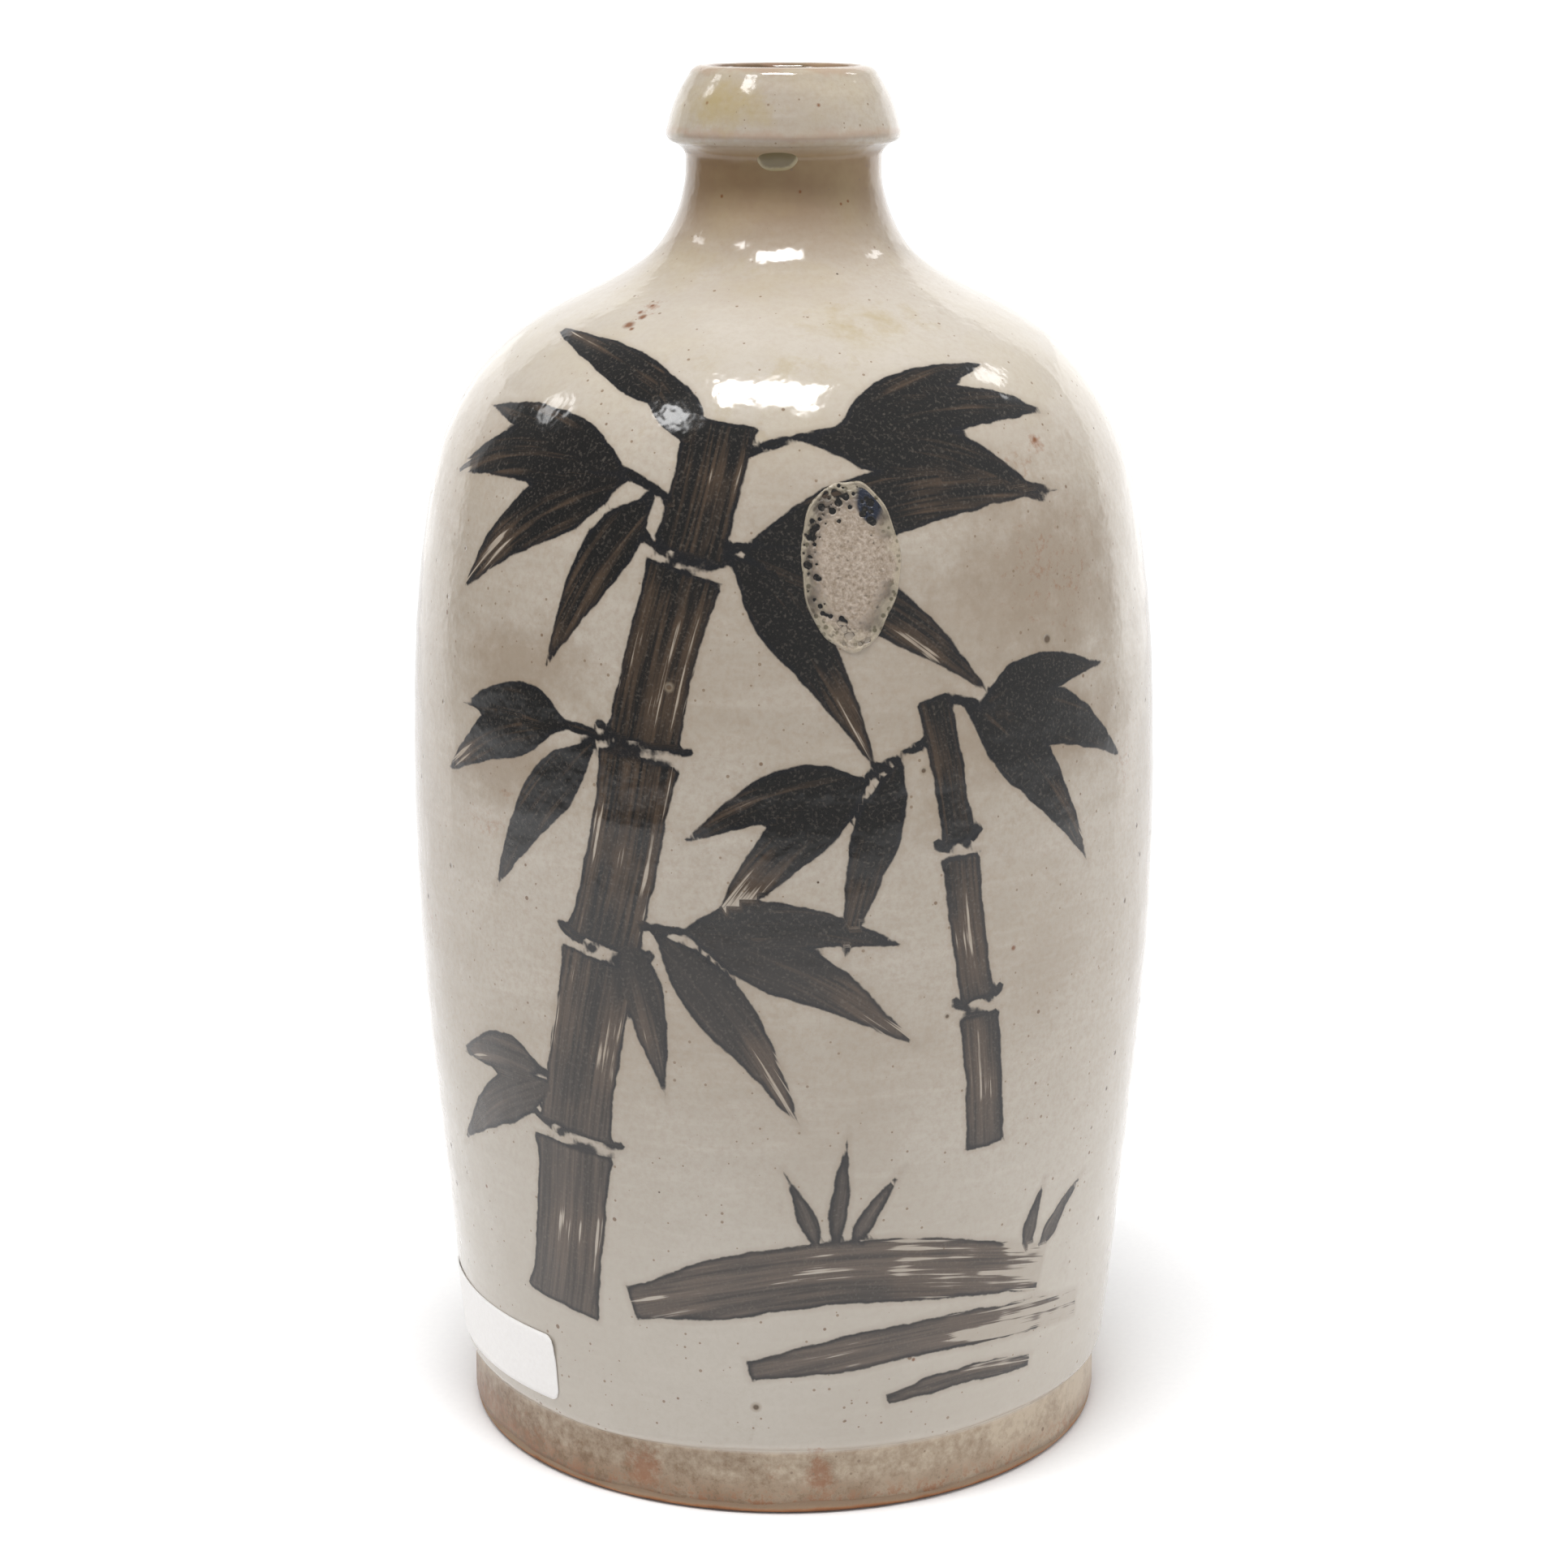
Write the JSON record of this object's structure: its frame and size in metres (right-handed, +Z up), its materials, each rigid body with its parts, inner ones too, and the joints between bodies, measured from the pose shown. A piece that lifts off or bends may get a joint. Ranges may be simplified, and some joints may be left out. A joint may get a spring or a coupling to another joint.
{
  "type": "sake bottle",
  "caption": "Hollow wheel-thrown stoneware bottle with a wide body, domed shoulder, narrow collared neck and flat foot ring, glazed outside.",
  "frame": {"origin": "centre of the foot ring's resting face", "axes": "+Z up the turning axis to the mouth; the decorated front faces -Y, and the label is on the -X side"},
  "size_m": [0.1338, 0.1338, 0.245],
  "materials": {
    "bare_stoneware": "matte fired clay",
    "ash_grey_glaze": "gloss",
    "label_paper": "semi-matte"
  },
  "bodies": {
    "root": {"stoneware_body": "bare_stoneware", "glaze_coat": "ash_grey_glaze", "price_label": "label_paper"}
  },
  "joints": []
}
